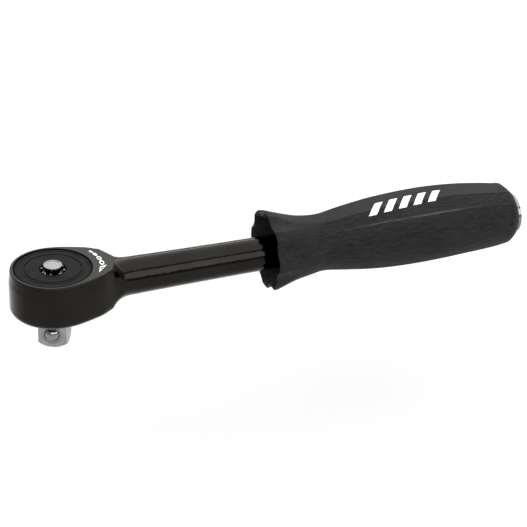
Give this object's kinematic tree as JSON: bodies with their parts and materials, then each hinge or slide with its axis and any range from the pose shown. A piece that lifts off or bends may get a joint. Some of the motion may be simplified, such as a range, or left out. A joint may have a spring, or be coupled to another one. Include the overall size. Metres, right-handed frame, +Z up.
{
  "type": "ratchet wrench",
  "caption": "Reversible ratchet wrench with a pear-shaped head, disc selector, push-button socket release, square drive and a faceted moulded grip.",
  "frame": {"origin": "centre of the drive square, in the plane of the shoulder that a socket seats against", "axes": "+Z up through the selector dial, so the square points along -Z; +X along the handle, from the head to the end cap"},
  "size_m": [0.1863, 0.0294, 0.0348],
  "materials": {
    "black_nickel": "polished black nickel plate on forged steel",
    "black_dial": "satin black finish, turned",
    "satin_chrome": "satin chrome plate",
    "bright_chrome": "polished chrome plate",
    "brass_retainer": "plain brass",
    "spring_steel": "ground and oiled steel",
    "black_oxide": "black oxide",
    "seal_rubber": "moulded nitrile",
    "core_plastic": "moulded, fibre filled",
    "grip_plastic": "moulded, fine lengthwise grain"
  },
  "bodies": {
    "handle": {"head_shank": "black_nickel", "lower_thrust_washer": "spring_steel", "dial_snap_ring": "black_oxide", "pawl_pin_tighten": "spring_steel", "pawl_pin_loosen": "spring_steel", "plunger_spring": "spring_steel", "stop_pin": "black_oxide", "detent_spring": "spring_steel", "grip_core": "core_plastic", "grip": "grip_plastic", "tang_washer": "spring_steel", "tang_nut": "spring_steel", "end_cap": "bright_chrome"},
    "drive": {"drive_gear": "satin_chrome", "dust_seal": "seal_rubber", "upper_thrust_washer": "spring_steel", "button_retainer": "brass_retainer", "release_spring": "spring_steel"},
    "button": {"release_button": "bright_chrome", "release_pin": "spring_steel"},
    "ball": {"lock_ball": "bright_chrome"},
    "dial": {"selector_dial": "black_dial", "cam_stud": "spring_steel"},
    "tighten_pawl": {"pawl_tighten": "spring_steel"},
    "loosen_pawl": {"pawl_loosen": "spring_steel"},
    "plunger": {"pawl_plunger": "spring_steel"},
    "detent": {"detent_ball": "bright_chrome"}
  },
  "joints": [
    {"name": "drive_spin", "type": "hinge", "parent": "handle", "child": "drive", "pos_m": [0, 0, 0], "axis": [0, 0, 1], "continuous": true},
    {"name": "button_press", "type": "slide", "parent": "drive", "child": "button", "axis": [0, 0, -1], "range_m": [0, 0.0025], "stiffness_N_per_m": 600, "springref_m": -0.004, "deforming": ["release_spring"]},
    {"name": "ball_retract", "type": "slide", "parent": "drive", "child": "ball", "axis": [0.454, 0.891, 0], "range_m": [0, 0.00125]},
    {"name": "selector_turn", "type": "hinge", "parent": "handle", "child": "dial", "pos_m": [0, 0, 0], "axis": [0, 0, 1], "range_deg": [-36, 0]},
    {"name": "tighten_pawl_swing", "type": "hinge", "parent": "handle", "child": "tighten_pawl", "pos_m": [0.0144, -0.004, 0], "axis": [0, 0, 1], "range_deg": [0, 8]},
    {"name": "loosen_pawl_swing", "type": "hinge", "parent": "handle", "child": "loosen_pawl", "pos_m": [0.0144, 0.004, 0], "axis": [0, 0, 1], "range_deg": [0, 8]},
    {"name": "plunger_slide", "type": "slide", "parent": "handle", "child": "plunger", "axis": [1, 0, 0], "range_m": [0, 0.0006], "stiffness_N_per_m": 300, "springref_m": -0.001, "deforming": ["plunger_spring"]},
    {"name": "detent_press", "type": "slide", "parent": "handle", "child": "detent", "axis": [0, 0, -1], "range_m": [0, 0.0004], "stiffness_N_per_m": 300, "springref_m": -0.001, "deforming": ["detent_spring"]}
  ],
  "couplings": [
    {"joint": "ball_retract", "follows": "button_press", "ratio": 0.5},
    {"joint": "tighten_pawl_swing", "follows": "selector_turn", "ratio": -0.22222},
    {"joint": "loosen_pawl_swing", "follows": "selector_turn", "ratio": -0.22222}
  ]
}
